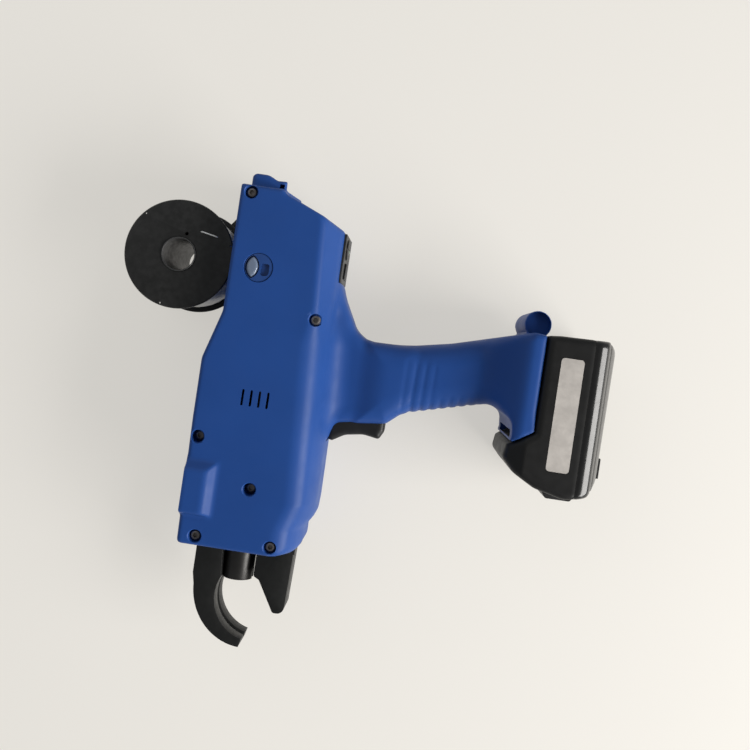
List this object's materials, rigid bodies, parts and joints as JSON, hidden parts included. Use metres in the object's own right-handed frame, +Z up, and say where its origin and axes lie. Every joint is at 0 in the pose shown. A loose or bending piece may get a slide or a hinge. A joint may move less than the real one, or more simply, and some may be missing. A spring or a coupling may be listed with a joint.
{
  "type": "rebar tying tool",
  "caption": "Cordless pistol-grip rebar tying tool with curved wire jaws, a side-mounted wire reel and a slide-on battery, lying on its right side.",
  "frame": {"origin": "on the flat right side the tool rests on, straight below the twister axis and level with the two nose screws", "axes": "+X from the barrel down the handle to the battery, -Y out of the nose, +Z up out of the left side"},
  "size_m": [0.2967, 0.2811, 0.0785],
  "materials": {
    "housing_blue": "fine moulded texture",
    "black_plastic": "satin",
    "battery_black": "semi-gloss",
    "black_metal": "black oxide, worn",
    "dark_steel": "phosphated",
    "steel": "turned",
    "wire_steel": "galvanised",
    "brass": "plain",
    "aluminium": "die cast",
    "knob_grey": "glossy",
    "board_green": "solder mask",
    "cell_wrap": "shrink film",
    "label_silver": "foil",
    "red_lens": "clear tint",
    "green_lens": "clear tint",
    "foot_rubber": "matt"
  },
  "bodies": {
    "tool_body": {"left_housing": "housing_blue", "right_housing": "housing_blue", "housing_screws": "dark_steel", "control_panel": "black_plastic", "status_lens": "green_lens", "trigger_spring": "steel", "trigger_switch": "black_plastic", "nose_block": "black_metal", "upper_guide": "black_metal", "guide_liner": "steel", "nose_sleeve": "dark_steel", "lower_guide_pin": "steel", "shaft_bearing": "steel", "twist_gearbox": "aluminium", "twist_motor": "dark_steel", "feed_plate": "steel", "feed_motor": "dark_steel", "lever_pin": "steel", "lever_spring": "steel", "cutter_die": "steel", "wire_tube": "brass", "wire_inlet": "steel", "wire_lead": "wire_steel", "controller_board": "board_green", "board_parts": "black_plastic", "terminal_block": "black_plastic", "terminal_blades": "brass", "reel_bracket": "black_plastic", "reel_hub": "black_plastic"},
    "trigger_body": {"trigger": "black_plastic"},
    "reel": {"spool": "black_plastic", "wire_core": "wire_steel", "wire_winding": "wire_steel"},
    "twister": {"twister_shaft": "steel", "twister_hooks": "steel"},
    "feed_roller": {"feed_gear": "steel", "feed_shaft": "steel"},
    "lever": {"pressure_lever": "dark_steel"},
    "pressure_roller": {"pressure_gear": "steel"},
    "lower_jaw": {"lower_guide": "black_metal"},
    "cutter_body": {"cutter": "dark_steel"},
    "switch_body": {"power_switch": "black_plastic"},
    "dial_body": {"tension_dial": "black_plastic"},
    "knob_body": {"reel_lock_knob": "knob_grey"},
    "battery": {"battery_upper_case": "battery_black", "battery_lower_case": "battery_black", "battery_cells": "cell_wrap", "battery_contacts": "brass", "battery_labels": "label_silver", "battery_feet": "foot_rubber", "charge_gauge": "red_lens", "latch_spring": "steel"},
    "latch_body": {"battery_latch": "black_plastic"}
  },
  "joints": [
    {"name": "trigger_pull", "type": "slide", "parent": "tool_body", "child": "trigger_body", "axis": [0, 1, 0], "range_m": [0, 0.006], "stiffness_N_per_m": 800, "springref_m": -0.004, "deforming": ["trigger_spring"]},
    {"name": "reel_spin", "type": "hinge", "parent": "tool_body", "child": "reel", "pos_m": [-0.058, 0.1582, 0.037], "axis": [0, 0, 1], "continuous": true},
    {"name": "twister_spin", "type": "hinge", "parent": "tool_body", "child": "twister", "pos_m": [0, 0, 0.037], "axis": [0, 1, 0], "continuous": true},
    {"name": "feed_spin", "type": "hinge", "parent": "tool_body", "child": "feed_roller", "pos_m": [-0.012, 0.027, 0.037], "axis": [0, 0, 1], "continuous": true},
    {"name": "pressure_lever_swing", "type": "hinge", "parent": "tool_body", "child": "lever", "pos_m": [-0.022, 0.042, 0.037], "axis": [0, 0, 1], "range_deg": [-5, 0], "stiffness_Nm_per_rad": 0.6, "springref_deg": 5.73, "deforming": ["lever_spring"]},
    {"name": "pressure_gear_spin", "type": "hinge", "parent": "lever", "child": "pressure_roller", "pos_m": [-0.023, 0.027, 0.037], "axis": [0, 0, 1], "continuous": true},
    {"name": "lower_guide_swing", "type": "hinge", "parent": "tool_body", "child": "lower_jaw", "pos_m": [0.0285, -0.0015, 0.037], "axis": [0, 0, 1], "range_deg": [0, 40]},
    {"name": "cutter_turn", "type": "hinge", "parent": "tool_body", "child": "cutter_body", "pos_m": [-0.0175, 0.005, 0.037], "axis": [0, 0, 1], "range_deg": [0, 40]},
    {"name": "power_switch_rock", "type": "hinge", "parent": "tool_body", "child": "switch_body", "pos_m": [0.0368, 0.164, 0.037], "axis": [0, 1, 0], "range_deg": [-10, 0]},
    {"name": "tension_dial_turn", "type": "hinge", "parent": "tool_body", "child": "dial_body", "pos_m": [0.0365, 0.177, 0.041], "axis": [1, 0, 0], "range_deg": [0, 270]},
    {"name": "reel_lock_turn", "type": "hinge", "parent": "tool_body", "child": "knob_body", "pos_m": [-0.0075, 0.1561, 0.037], "axis": [0, 0, 1], "range_deg": [0, 90]},
    {"name": "battery_slide", "type": "slide", "parent": "tool_body", "child": "battery", "axis": [0, -1, 0], "range_m": [0, 0.075]},
    {"name": "latch_press", "type": "slide", "parent": "battery", "child": "latch_body", "axis": [0, 1, 0], "range_m": [0, 0.0024], "stiffness_N_per_m": 900, "springref_m": -0.003, "deforming": ["latch_spring"]}
  ],
  "couplings": [
    {"joint": "pressure_gear_spin", "follows": "feed_spin", "ratio": -1}
  ]
}
